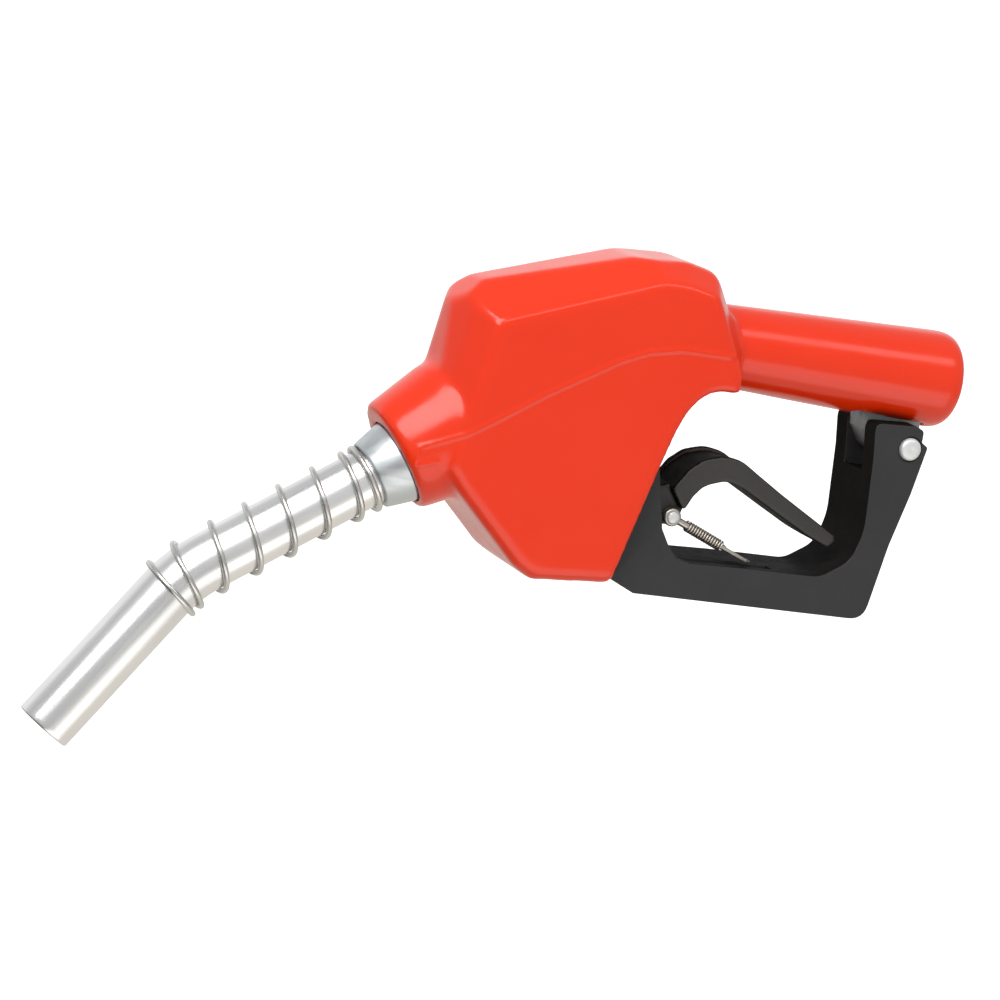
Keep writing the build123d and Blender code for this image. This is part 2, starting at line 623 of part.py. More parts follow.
with BuildPart() as attitude_cage:
    rod(cage_axis, CAGE_BACK, CAGE_FRONT, CAGE_R)
    rod(cage_axis, CAGE_BACK + 1, CAGE_FRONT - 1, BALL_R + 0.35, Mode.SUBTRACT)
    rod(cage_axis, CAGE_BACK, CAGE_FRONT, 1.2, Mode.SUBTRACT)
save(attitude_cage.part, "attitude_cage")

with BuildPart() as attitude_ball:
    with Locations(cage_axis.offset(CAGE_FRONT - 1 - BALL_R - GAP)):
        Sphere(BALL_R)
save(attitude_ball.part, "attitude_ball")

with BuildPart() as check_valve_seat:
    ring(spout_axis, CHECK_SEAT - 4, CHECK_SEAT, BORE_R - FIT, 8)
save(check_valve_seat.part, "check_valve_seat")

with BuildPart() as check_valve:
    rod(spout_axis, CHECK_SEAT + GAP, CHECK_SEAT + CHECK_DISC, 10)
    rod(spout_axis, CHECK_SEAT + CHECK_DISC, GUIDE_FRONT + 4, CHECK_STEM_R)
save(check_valve.part, "check_valve")

with BuildPart() as check_valve_guide:
    ring(spout_axis, GUIDE_BACK, GUIDE_FRONT, BORE_R - FIT, 11.5)
    with Locations(spout_axis.offset(GUIDE_BACK)):
        for turn in (0, 60, 120):
            Box(2, 24.5, GUIDE_FRONT - GUIDE_BACK, rotation=(0, 0, turn), align=UP)
    rod(spout_axis, GUIDE_BACK, GUIDE_FRONT, 7.2)
    rod(spout_axis, GUIDE_BACK, GUIDE_FRONT, CHECK_STEM_R + FIT, Mode.SUBTRACT)
save(check_valve_guide.part, "check_valve_guide")

save(
    spring(spout_axis, CHECK_SEAT + CHECK_DISC + 0.6, GUIDE_BACK - 0.6, 6, 0.5, 2.1),
    "check_valve_spring",
)


def coil_points():
    """Centre line of the spout's spring: closed end turns, and open turns between them."""
    points = []
    along = COIL_START
    steps = COIL_TURNS * COIL_STEPS
    for step in range(steps + 1):
        turns = step / COIL_STEPS
        from_end = min(turns, COIL_TURNS - turns)
        opening = min(max((from_end - COIL_END_TURNS) / COIL_OPENING_TURNS, 0), 1)
        angle = 2 * pi * turns - pi / 2
        x, z = spout_point(along, COIL_R * cos(angle))
        points.append((x, -COIL_R * sin(angle), z))
        along += (COIL_CLOSE_PITCH + (COIL_PITCH - COIL_CLOSE_PITCH) * opening) / COIL_STEPS
    return points


with BuildPart() as spout_spring:
    with BuildLine() as coil_line:
        Spline(*coil_points())
    with BuildSketch(Plane(origin=coil_line.line @ 0, z_dir=coil_line.line % 0)):
        Circle(WIRE_R)
    sweep(path=coil_line.line, is_frenet=True)
save(spout_spring.part, "spout_spring")


# ---------------------------------------------------------------- hand guard
with BuildPart() as hand_guard:
    plate(GUARD_OUTLINE, -GUARD_HALF, GUARD_HALF)
    plate(FORK_SLOT, -EAR_INNER, EAR_INNER, Mode.SUBTRACT)
    plate(WING_SLOT, -WING_INNER, WING_INNER, Mode.SUBTRACT)
    plate(CLIP_GROOVE, CLIP_Y - 3, CLIP_Y + 3.5, Mode.SUBTRACT)
    rod(rivet_axis, -GUARD_HALF, GUARD_HALF, RIVET_R + FIT, Mode.SUBTRACT)
    rod(wing_screw_axis, -GUARD_HALF, GUARD_HALF, WING_SCREW_R + FIT, Mode.SUBTRACT)
save(hand_guard.part, "hand_guard")

with BuildPart() as guard_rivet:
    rod(rivet_axis, -GUARD_HALF - 1.8, GUARD_HALF + 1.8, RIVET_R)
    rod(rivet_axis, -GUARD_HALF - 1.8, -GUARD_HALF, RIVET_HEAD_R)
    rod(rivet_axis, GUARD_HALF, GUARD_HALF + 1.8, RIVET_HEAD_R)
save(guard_rivet.part, "guard_rivet")

with BuildPart() as guard_screws:
    for side in (-1, 1):
        rod(wing_screw_axis, side * (PAD_INNER + GAP), side * (GUARD_HALF + 2), WING_SCREW_R)
        rod(wing_screw_axis, side * GUARD_HALF, side * (GUARD_HALF + 2.2), 3.4)
save(guard_screws.part, "guard_screws")


# ---------------------------------------------------------------- lever and hold-open clip
with BuildPart() as lever:
    plate(GRIP_OUTLINE, -LEVER_HALF, LEVER_HALF)
    plate(WEB_OUTLINE, -WEB_HALF, WEB_HALF)
    rod(fulcrum_axis, -WEB_HALF, WEB_HALF, FORK_R)
    rod(pad_axis, -WEB_HALF, WEB_HALF, PAD_R)
    plate(TONGUE_SLOT, -TONGUE_HALF - 0.2, TONGUE_HALF + 0.2, Mode.SUBTRACT)
    rod(fulcrum_axis, -WEB_HALF, WEB_HALF, LEVER_PIN_R + FIT, Mode.SUBTRACT)
    rod(clip_axis, -WEB_HALF, 0, CLIP_RIVET_R, Mode.SUBTRACT)
save(lever.part, "lever")

with BuildPart() as clip_rivet:
    rod(clip_axis, -WEB_HALF + 6, CLIP_Y - 2.6, CLIP_RIVET_R)
    rod(clip_axis, CLIP_Y - 2.0, CLIP_Y - 2.8, 2.7)
save(clip_rivet.part, "clip_rivet")

with BuildPart() as clip_washer:
    ring(clip_axis, CLIP_Y + 1.85, -WEB_HALF - 0.05, 3.4, CLIP_RIVET_R + FIT)
save(clip_washer.part, "clip_washer")

with BuildPart() as hold_open_clip:
    rod(clip_axis, CLIP_Y - 1.8, CLIP_Y + 1.8, CLIP_HUB_R)
    rod(shank_axis, 2, BLADE_START + 2, SHANK_R)
    with Locations(shank_axis.offset(BLADE_START)):
        Box(3.6, 1.6, CLIP_LENGTH - BLADE_START, align=UP)
    rod(clip_axis, CLIP_Y - 2, CLIP_Y + 2, CLIP_RIVET_R + FIT, Mode.SUBTRACT)
save(hold_open_clip.part, "hold_open_clip")

save(spring(shank_axis, 8, BLADE_START - 0.8, SHANK_R + 0.55, 0.45, 1.3), "clip_spring")
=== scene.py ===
"""Looks of the fuel nozzle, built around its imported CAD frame.

Everything is in metres in the CAD row frame: the origin is the hose inlet's mouth, +X points
out of the inlet, +Z is up with the handle level, and Y = 0 is the nozzle's middle plane.
Sizes below are in millimetres, times MM.
"""
import json
import math

import bmesh
import bpy
from mathutils import Matrix, Vector


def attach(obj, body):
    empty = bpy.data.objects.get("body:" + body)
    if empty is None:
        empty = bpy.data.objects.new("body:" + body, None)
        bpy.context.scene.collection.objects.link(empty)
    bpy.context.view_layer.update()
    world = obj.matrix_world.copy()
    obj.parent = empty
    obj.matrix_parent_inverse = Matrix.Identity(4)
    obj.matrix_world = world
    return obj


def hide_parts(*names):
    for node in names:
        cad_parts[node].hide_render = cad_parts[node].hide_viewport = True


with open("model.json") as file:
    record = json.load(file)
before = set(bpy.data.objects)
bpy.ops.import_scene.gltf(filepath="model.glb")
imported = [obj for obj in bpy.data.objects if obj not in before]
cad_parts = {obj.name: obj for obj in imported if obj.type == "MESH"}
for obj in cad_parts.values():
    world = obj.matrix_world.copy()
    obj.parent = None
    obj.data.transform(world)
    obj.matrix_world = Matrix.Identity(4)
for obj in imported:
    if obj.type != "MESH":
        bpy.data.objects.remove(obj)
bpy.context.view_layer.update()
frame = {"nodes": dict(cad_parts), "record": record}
MM = 0.001
SCENE = bpy.context.scene

# ---------------------------------------------------------------- driving dimensions (mm, degrees)
# hood outline in X and Z, clockwise from the foot of its front face
HOOD_FRONT = [(-228.5, -30), (-227.6, 1.5), (-217.5, 11.7)]
HOOD_ROOF = [(-157, 31.2), (-133, 33), (-120.5, 30.6), (-112.5, 17)]
HOOD_REAR = [
    (-104, 10), (-104, -16.6), (-111, -16), (-116.5, -17.5), (-121.5, -21.5), (-125.5, -27.5),
    (-128.5, -36), (-131.5, -48), (-143.5, -101.5),
]
HOOD_FOOT = [(-178, -104.2), (-186, -100), (-216, -73.0), (-227.5, -60)]
HOOD_HALF = 28.0
# creases where the roof's bevels meet the sides: (x, z, slope, rise per millimetre inwards)
ROOF_CREASES = [
    (-222.0, -8.0, 1.0, 0.63), (-215.0, -2.2, 0.385, 0.7), (-140.0, 24.0, 0.0, 0.7),
    (-127.0, 22.4, -0.19, 0.7), (-120.5, 18.0, -1.7, 0.6),
]
FOOT_BEVEL = 3.0
NOSE = [(4.0, 14.0, 5.8), (18.0, 10.0, 7.6)]
NOSE_LEAN = 0.12
SHELL_WALL = 2.4
SEAMS = [
    [(-236, -57), (-218, -48), (-206, -40), (-189, -28), (-168, -15), (-160, -10), (-148, -4.5),
     (-134, -1.5), (-110, -1)],
    [(-236, -57), (-236.5, -65), (-228, -61.5)],
]
SEAM_RISE = 0.55
SEAM_WIDTH = 0.8
SEAM_FACING = 0.5
SEAM_LEAST_Y = 12.0

HANDLE_R = 20.8
HANDLE_TAPER = 0.034
HANDLE_END = 2.4
HANDLE_FRONT = -122.0
LIP_R = 17.0

SPOUT_ROOT = (-245.5, -75.0)
SPOUT_DIP = 35.5
TIP = (-360.7, -193.0)
TIP_DIP = 56.3
BEND_R = 60.0
SPOUT_R = 11.9
SPOUT_WALL = 1.5
TUBE_START = -30.0
NECK_OFFSET = 2.6
NECK_MOUTH_R = 23.5
NECK_MOUTH = -12.0
MOUTH_R = 17.75
NECK_BACK = -38.0
NECK_BACK_R = 28.2

# closed profiles of the cover's round parts: (along, radius)
NECK_PROFILE = [
    (-70, 2), (-70, NECK_BACK_R - 3), (NECK_BACK, NECK_BACK_R), (NECK_MOUTH, NECK_MOUTH_R),
    (NECK_MOUTH, 2),
]
HANDLE_PROFILE = [
    (HANDLE_FRONT - 12, 2), (HANDLE_FRONT - 12, 15),
    (HANDLE_FRONT, HANDLE_R + HANDLE_TAPER * HANDLE_FRONT), (-5, HANDLE_R), (-1.2, HANDLE_R - 0.5),
    (1.4, HANDLE_R - 2.2), (HANDLE_END, HANDLE_R - 4.4), (HANDLE_END, 2),
]
# openings of the cover: the one behind the lever's front end, and the casting's lug
REAR_MOUTH = [
    (-130, -14.6), (-117, -14.6), (-112, -30), (-118, -60), (-134, -96.8), (-150, -96.8), (-138, -40),
]
LUG_SLOT = [(-40.5, -8), (-7.5, -8), (-7.5, -24), (-40.5, -24)]
LUG_HALF = 8.3
COVER_VOXEL = 1.3
COVER_ROUNDS = 14
SKIN_VOXEL = 0.95
SKIN_ROUNDS = 5

FULCRUM = (-156.0, -70.0)
RIVET_AT = (-17.0, -29.0)
CLIP_PIVOT = (-115.0, -73.0)


def point(x, y, z):
    """A place given in millimetres, as a vector in metres."""
    return Vector((x, y, z)) * MM


def heading(dip):
    """Unit vector towards the spout's tip, dip degrees below level."""
    angle = math.radians(dip)
    return Vector((-math.cos(angle), 0, -math.sin(angle)))


AXIS_X = Vector((1, 0, 0))
AXIS_Z = Vector((0, 0, 1))
SIDE = Vector((0, 1, 0))
SPOUT_DIR = heading(SPOUT_DIP)
SPOUT_UP = Vector((SPOUT_DIR.z, 0, -SPOUT_DIR.x))
TIP_DIR = heading(TIP_DIP)
TURN = math.radians(TIP_DIP - SPOUT_DIP)
ROOT_POINT = Vector((SPOUT_ROOT[0], 0, SPOUT_ROOT[1]))
TIP_POINT = Vector((TIP[0], 0, TIP[1]))
TO_TIP = TIP_POINT - ROOT_POINT
CORNER = (TO_TIP.x * TIP_DIR.z - TO_TIP.z * TIP_DIR.x) / (
    SPOUT_DIR.x * TIP_DIR.z - SPOUT_DIR.z * TIP_DIR.x
)
FIRST_RUN = CORNER - BEND_R * math.tan(TURN / 2)
LAST_RUN = (TIP_POINT - ROOT_POINT - SPOUT_DIR * CORNER).length - BEND_R * math.tan(TURN / 2)
SPOUT_LENGTH = FIRST_RUN + BEND_R * TURN + LAST_RUN


def spout_frame(s):
    """(centre, direction, up) of the spout's centre line, s millimetres past the nut's face."""
    bend = min(max(s - FIRST_RUN, 0) / BEND_R, TURN)
    dip = math.radians(SPOUT_DIP) + bend
    ahead = Vector((-math.cos(dip), 0, -math.sin(dip)))
    up = Vector((-math.sin(dip), 0, math.cos(dip)))
    centre = ROOT_POINT + SPOUT_DIR * min(s, FIRST_RUN)
    centre = centre + (up - SPOUT_UP) * BEND_R + ahead * max(s - FIRST_RUN - BEND_R * TURN, 0)
    return centre * MM, ahead, up


# ---------------------------------------------------------------- mesh helpers
def new_object(name, mesh):
    obj = bpy.data.objects.new(name, mesh)
    SCENE.collection.objects.link(obj)
    return obj


def from_bmesh(name, bm, smooth=True):
    """A new object from a bmesh, which is used up."""
    bmesh.ops.recalc_face_normals(bm, faces=bm.faces)
    mesh = bpy.data.meshes.new(name)
    bm.to_mesh(mesh)
    bm.free()
    if smooth:
        mesh.shade_smooth()
    return new_object(name, mesh)


def bake(obj):
    """Apply every modifier of an object to its mesh."""
    graph = bpy.context.evaluated_depsgraph_get()
    mesh = bpy.data.meshes.new_from_object(obj.evaluated_get(graph))
    obj.modifiers.clear()
    old = obj.data
    obj.data = mesh
    bpy.data.meshes.remove(old)
    return obj


def prism(bm, outline, y_low, y_high):
    """Add a plate with an outline in X and Z, in millimetres, to a bmesh."""
    near = [bm.verts.new(point(x, y_low, z)) for x, z in outline]
    far = [bm.verts.new(point(x, y_high, z)) for x, z in outline]
    faces = [bm.faces.new(near), bm.faces.new(far[::-1])]
    for i in range(len(outline)):
        j = (i + 1) % len(outline)
        faces.append(bm.faces.new((near[j], near[i], far[i], far[j])))
    return faces


def slice_off(bm, place, normal):
    """Cut away what lies beyond a plane, and close the cut."""
    geometry = bm.verts[:] + bm.edges[:] + bm.faces[:]
    cut = bmesh.ops.bisect_plane(
        bm, geom=geometry, plane_co=place, plane_no=normal, clear_outer=True, dist=1e-7,
    )
    edges = [e for e in cut["geom_cut"] if isinstance(e, bmesh.types.BMEdge)]
    if edges:
        bmesh.ops.edgeloop_fill(bm, edges=edges)


def loft(bm, rings, closed=False):
    """Faces between rings of points, which either close on themselves or end in flat caps."""
    pairs = list(zip(rings, rings[1:]))
    if closed:
        pairs.append((rings[-1], rings[0]))
    for ring, after in pairs:
        for k in range(len(ring)):
            m = (k + 1) % len(ring)
            bm.faces.new((ring[k], ring[m], after[m], after[k]))
    if not closed:
        bm.faces.new(rings[0][::-1])
        bm.faces.new(rings[-1])


def tube_skin(bm, frames, radii, segments, closed=False):
    """Loft circles: frames are (centre, normal, binormal), and radii are in millimetres."""
    angles = [2 * math.pi * k / segments for k in range(segments)]
    rings = [
        [bm.verts.new(c + (n * math.cos(a) + b * math.sin(a)) * radius * MM) for a in angles]
        for (c, n, b), radius in zip(frames, radii)
    ]
    loft(bm, rings, closed)


def revolve(bm, profile, origin, ahead, up, segments=96, closed=False):
    """Revolve a profile of (along, radius) millimetres about an axis, into a bmesh."""
    side = ahead.cross(up)
    frames = [(origin + ahead * along * MM, up, side) for along, _ in profile]
    tube_skin(bm, frames, [radius for _, radius in profile], segments, closed)


def melt(obj, voxel, rounds=0):
    """Rebuild an object as one clean skin, and soften its corners."""
    remesh = obj.modifiers.new("melt", "REMESH")
    remesh.mode = "VOXEL"
    remesh.voxel_size = voxel * MM
    if rounds:
        soften = obj.modifiers.new("soften", "SMOOTH")
        soften.factor = 0.5
        soften.iterations = rounds
    return bake(obj)


def voxel_form(name, bm, voxel, rounds):
    """Melt the closed forms in a bmesh into one skin and soften its corners."""
    return melt(from_bmesh(name, bm), voxel, rounds)


def carve(obj, cutter, operation="DIFFERENCE"):
    """Cut one closed mesh from another, and remove the cutter."""
    modifier = obj.modifiers.new("carve", "BOOLEAN")
    modifier.operation = operation
    modifier.solver = "EXACT"
    modifier.object = cutter
    bake(obj)
    bpy.data.objects.remove(cutter)
    return obj


def rounded(obj, width, segments=3, angle=30):
    """Round the sharp edges of an object and keep its flats flat."""
    bevel = obj.modifiers.new("round", "BEVEL")
    bevel.width = width * MM
    bevel.segments = segments
    bevel.limit_method = "ANGLE"
    bevel.angle_limit = math.radians(angle)
    bevel.harden_normals = True
    bake(obj)
    return obj


def finish_piece(obj, body, slot, material, *replaced):
    """Give a piece its material and body, and hide the CAD nodes that it stands for; the slot is not
    used.
    """
    obj.data.materials.clear()
    obj.data.materials.append(material)
    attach(obj, body)
    if replaced:
        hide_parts(*replaced)
    return obj


# ---------------------------------------------------------------- materials
class Surface:
    """A Principled material and short calls for the nodes that feed it."""

    def __init__(self, name, colour, roughness, metallic=0.0, **sockets):
        self.material = bpy.data.materials.new(name)
        self.material.use_nodes = True
        self.tree = self.material.node_tree
        self.shader = self.tree.nodes["Principled BSDF"]
        self.shader.inputs["Base Color"].default_value = (*colour, 1)
        self.shader.inputs["Roughness"].default_value = roughness
        self.shader.inputs["Metallic"].default_value = metallic
        for socket, value in sockets.items():
            self.shader.inputs[socket.replace("_", " ")].default_value = value
        self.place = self.tree.nodes.new("ShaderNodeTexCoord").outputs["Object"]

    def node(self, kind, **settings):
        """A new node with its settings."""
        made = self.tree.nodes.new(kind)
        for key, value in settings.items():
            setattr(made, key, value)
        return made

    def link(self, source, target):
        self.tree.links.new(source, target)

    def stretched(self, scale):
        """Coordinates scaled by axis, for grain that runs one way."""
        mapping = self.node("ShaderNodeMapping")
        mapping.inputs["Scale"].default_value = scale
        self.link(self.place, mapping.inputs["Vector"])
        return mapping.outputs["Vector"]

    def noise(self, scale, detail=4.0, where=None, roughness=0.5):
        """A noise factor, finer as the scale grows."""
        made = self.node("ShaderNodeTexNoise")
        made.inputs["Scale"].default_value = scale
        made.inputs["Detail"].default_value = detail
        made.inputs["Roughness"].default_value = roughness
        self.link(where or self.place, made.inputs["Vector"])
        return made.outputs["Fac"]

    def spread(self, source, low, high, from_low=0.3, from_high=0.7):
        """Map a factor to a range of numbers."""
        made = self.node("ShaderNodeMapRange")
        made.inputs["From Min"].default_value = from_low
        made.inputs["From Max"].default_value = from_high
        made.inputs["To Min"].default_value = low
        made.inputs["To Max"].default_value = high
        self.link(source, made.inputs["Value"])
        return made.outputs["Result"]

    def tint(self, source, first, second):
        """Blend the base colour between two colours by a factor."""
        ramp = self.node("ShaderNodeValToRGB")
        ramp.color_ramp.elements[0].position = 0.3
        ramp.color_ramp.elements[1].position = 0.7
        ramp.color_ramp.elements[0].color = (*first, 1)
        ramp.color_ramp.elements[1].color = (*second, 1)
        self.link(source, ramp.inputs["Fac"])
        self.link(ramp.outputs["Color"], self.shader.inputs["Base Color"])

    def rough(self, source, low, high):
        """Vary the roughness between two values by a factor."""
        self.link(self.spread(source, low, high), self.shader.inputs["Roughness"])

    def bump(self, *heights):
        """Stack bumps: each is (factor, depth in metres)."""
        normal = None
        for source, depth in heights:
            made = self.node("ShaderNodeBump")
            made.inputs["Strength"].default_value = 1.0
            made.inputs["Distance"].default_value = depth
            self.link(source, made.inputs["Height"])
            if normal:
                self.link(normal, made.inputs["Normal"])
            normal = made.outputs["Normal"]
        self.link(normal, self.shader.inputs["Normal"])


def red_vinyl():
    """Dip-moulded vinyl: glossy, with slow waves and fine pores."""
    s = Surface("red_vinyl", (0.80, 0.03, 0.001), 0.2, IOR=1.47, Coat_Weight=0.15, Coat_Roughness=0.12)
    waves = s.noise(30, 2)
    pores = s.noise(1400, 3)
    s.tint(s.noise(16, 3), (0.785, 0.028, 0.001), (0.815, 0.032, 0.002))
    s.rough(s.noise(60, 4), 0.16, 0.25)
    s.bump((waves, 0.0003), (pores, 0.00001))
    return s.material


def black_moulding(name, colour, roughness, shine=0.5):
    """Glass-filled nylon: dark, with a fine spark-eroded grain and faint flow marks."""
    s = Surface(name, colour, roughness, Specular_IOR_Level=shine)
    grain = s.noise(2600, 2)
    flow = s.noise(40, 4)
    lighter = tuple(c * 1.25 for c in colour)
    s.tint(flow, colour, lighter)
    s.rough(s.noise(220, 5), roughness - 0.06, roughness + 0.06)
    s.bump((grain, 0.00005), (flow, 0.0001))
    return s.material


def turned_metal(name, colour, roughness, along=None, metallic=1.0):
    """Drawn or turned metal: fine lines along an attribute's first axis, and a faint clouding."""
    s = Surface(name, colour, roughness, metallic)
    if along:
        s.place = s.node("ShaderNodeAttribute", attribute_name=along).outputs["Vector"]
    lines = s.noise(11, 3, s.stretched((1, 26, 26)), 0.5)
    cloud = s.noise(24, 4)
    darker = tuple(c * 0.88 for c in colour)
    s.tint(cloud, darker, colour)
    s.rough(lines, roughness * 0.75, roughness * 1.35)
    s.bump((lines, 0.000008), (s.noise(500, 3), 0.000002))
    return s.material


def cast_metal(name, colour, roughness):
    """Sand-textured die casting."""
    s = Surface(name, colour, roughness, metallic=1.0)
    s.tint(s.noise(45, 5), tuple(c * 0.8 for c in colour), colour)
    s.rough(s.noise(300, 4), roughness - 0.1, roughness + 0.1)
    s.bump((s.noise(1100, 4), 0.00006))
    return s.material


def soft_rubber(name, colour, roughness):
    """Rubber or plain plastic with a faint mottling."""
    s = Surface(name, colour, roughness)
    s.tint(s.noise(120, 3), colour, tuple(c * 1.4 for c in colour))
    s.bump((s.noise(1500, 3), 0.00003))
    return s.material


MATERIALS = {
    "red_vinyl": red_vinyl(),
    "cast_aluminium": cast_metal("cast_aluminium", (0.36, 0.37, 0.38), 0.55),
    "spout_aluminium": turned_metal("spout_aluminium", (0.90, 0.90, 0.90), 0.27, "flow"),
    "zinc_steel": turned_metal("zinc_steel", (0.62, 0.655, 0.67), 0.38),
    "spring_steel": turned_metal("spring_steel", (0.72, 0.72, 0.70), 0.28),
    "clip_steel": turned_metal("clip_steel", (0.60, 0.56, 0.50), 0.36),
    "black_plastic": black_moulding("black_plastic", (0.017, 0.017, 0.0185), 0.5),
    "lever_plastic": black_moulding("lever_plastic", (0.029, 0.026, 0.024), 0.5),
    "brass": turned_metal("brass", (0.72, 0.52, 0.24), 0.32),
    "rubber": soft_rubber("rubber", (0.02, 0.02, 0.02), 0.6),
    "acetal": soft_rubber("acetal", (0.72, 0.71, 0.66), 0.4),
}
SHADED_PLASTIC = black_moulding("shaded_plastic", (0.008, 0.0075, 0.007), 0.6, 0.02)
RIVET_ZINC = turned_metal("rivet_zinc", (0.80, 0.82, 0.81), 0.4, metallic=0.45)
SIDEWAYS = 0.55


def shade_inner_faces(obj):
    """Give faces that don't point sideways a darker material, to imitate how little light they get."""
    obj.data.materials.append(SHADED_PLASTIC)
    for face in obj.data.polygons:
        if abs(face.normal.y) < SIDEWAYS:
            face.material_index = 1


def dress_frame():
    """Give every CAD node the finished material of its slot."""
    slots = {row["node"]: row["material_slot"] for row in frame["record"]["subparts"]}
    for name, obj in frame["nodes"].items():
        obj.data.materials.clear()
        obj.data.materials.append(MATERIALS[slots[name]])


dress_frame()


# ---------------------------------------------------------------- camera, light and floor
CAM_AZIMUTH = -22.4
CAM_ELEVATION = 8.8
CAM_ROLL = -11.5
CAM_DISTANCE = 1.45
CAM_LENS = 127.4
CAM_TARGET = point(-187.85, 0, -77.52)
# rectangular lights round the middle: name, direction, distance, width and height, power
LIGHT_TARGET = Vector((-0.2, 0, -0.05))
SOFTBOXES = [
    ("window_box", (-0.51, -0.52, 0.685), 1.7, (1.15, 1.35), 23.0),
    ("strip_box", (0.25, -0.65, 0.718), 1.7, (1.6, 0.4), 3.9),
    ("fill_box", (0.1, -0.8, -0.6), 1.9, (2.6, 1.3), 9.0),
]
WORLD_DIM = 0.52
WORLD_FLOOR = 0.74
WORLD_BACK = 0.42
WORLD_SHADE = 0.2
WARM_FLOOR = (1.0, 0.955, 0.87)


def make_camera():
    """The camera at the photograph's viewing angle."""
    a, e, r = map(math.radians, (CAM_AZIMUTH, CAM_ELEVATION, CAM_ROLL))
    back = Vector((math.sin(a) * math.cos(e), -math.cos(a) * math.cos(e), math.sin(e)))
    right = Vector((math.cos(a), math.sin(a), 0))
    up = back.cross(right)
    rolled_right = right * math.cos(r) - up * math.sin(r)
    rolled_up = up * math.cos(r) + right * math.sin(r)
    camera = bpy.data.objects.new("camera", bpy.data.cameras.new("camera"))
    SCENE.collection.objects.link(camera)
    turn = Matrix((rolled_right, rolled_up, back)).transposed().to_4x4()
    camera.matrix_world = Matrix.Translation(CAM_TARGET + back * CAM_DISTANCE) @ turn
    camera.data.lens = CAM_LENS
    camera.data.sensor_width = 36
    camera.data.clip_start = 0.05
    SCENE.camera = camera


def softbox(name, place, target, size, power):
    """A rectangular area light aimed at a point."""
    light = bpy.data.lights.new(name, "AREA")
    light.shape = "RECTANGLE"
    light.size, light.size_y = size
    light.energy = power
    obj = bpy.data.objects.new(name, light)
    SCENE.collection.objects.link(obj)
    obj.location = place
    obj.rotation_euler = (Vector(target) - Vector(place)).to_track_quat("-Z", "Y").to_euler()


def make_stage():
    """A pale floor far below and a pale wall all round, seen by the camera alone."""
    bm = bmesh.new()
    floor_z, wall, height, bend, steps, segments = -0.75, 7.0, 8.0, 1.5, 12, 64
    profile = [(0.4, floor_z)]
    for k in range(steps + 1):
        a = math.pi / 2 * k / steps
        profile.append((wall - bend + bend * math.sin(a), floor_z + bend * (1 - math.cos(a))))
    profile += [(wall, height), (wall * 0.5, height + 2), (0.4, height + 3)]
    angles = [2 * math.pi * k / segments for k in range(segments)]
    loft(bm, [
        [bm.verts.new((r * math.cos(a), r * math.sin(a), z)) for a in angles] for r, z in profile
    ])
    room = from_bmesh("pale_room", bm)
    paper = Surface("pale_paper", (0.8, 0.8, 0.8), 0.9, Emission_Strength=0.9)
    paper.shader.inputs["Emission Color"].default_value = (1, 1, 1, 1)
    paper.tint(paper.noise(2, 2), (0.79, 0.79, 0.79), (0.82, 0.82, 0.82))
    room.data.materials.append(paper.material)
    room.visible_diffuse = False
    room.visible_glossy = False
    room.visible_transmission = False
    room.visible_shadow = False


def make_world():
    """Light from all round: a bright floor and back, and a dimmer front and ceiling."""
    world = bpy.data.worlds.new("studio")
    world.use_nodes = True
    tree = world.node_tree
    split = tree.nodes.new("ShaderNodeSeparateXYZ")
    tree.links.new(tree.nodes.new("ShaderNodeTexCoord").outputs["Generated"], split.inputs[0])

    def ramp(axis, start, end, low, high):
        made = tree.nodes.new("ShaderNodeMapRange")
        made.interpolation_type = "SMOOTHSTEP"
        for socket, value in (("From Min", start), ("From Max", end), ("To Min", low), ("To Max", high)):
            made.inputs[socket].default_value = value
        tree.links.new(split.outputs[axis], made.inputs["Value"])
        return made.outputs["Result"]

    def combine(operation, first, second):
        made = tree.nodes.new("ShaderNodeMath")
        made.operation = operation
        tree.links.new(first, made.inputs[0])
        tree.links.new(second, made.inputs[1])
        return made.outputs[0]

    floor = ramp("Z", -0.5, -0.2, WORLD_FLOOR, WORLD_DIM)
    back = combine("MULTIPLY", ramp("Y", 0.3, 0.75, 0, WORLD_BACK), ramp("Z", 0.5, 0.75, 1, 0))
    back = combine("MULTIPLY", back, ramp("Z", -0.5, 0, 0, 1))
    shade = combine("MAXIMUM", ramp("X", -0.6, 0, WORLD_SHADE, 1), ramp("Z", -0.4, 0, 0, 1))
    background = tree.nodes["Background"]
    warmth = tree.nodes.new("ShaderNodeValToRGB")
    warmth.color_ramp.elements[0].color = (*WARM_FLOOR, 1)
    warmth.color_ramp.elements[1].color = (1, 1, 1, 1)
    tree.links.new(ramp("Z", -0.4, 0, 0, 1), warmth.inputs["Fac"])
    tree.links.new(warmth.outputs["Color"], background.inputs["Color"])
    strength = combine("MULTIPLY", combine("ADD", floor, back), shade)
    tree.links.new(strength, background.inputs["Strength"])
    SCENE.world = world


def make_light():
    make_world()
    for name, direction, distance, size, power in SOFTBOXES:
        softbox(name, LIGHT_TARGET + Vector(direction) * distance, LIGHT_TARGET, size, power)


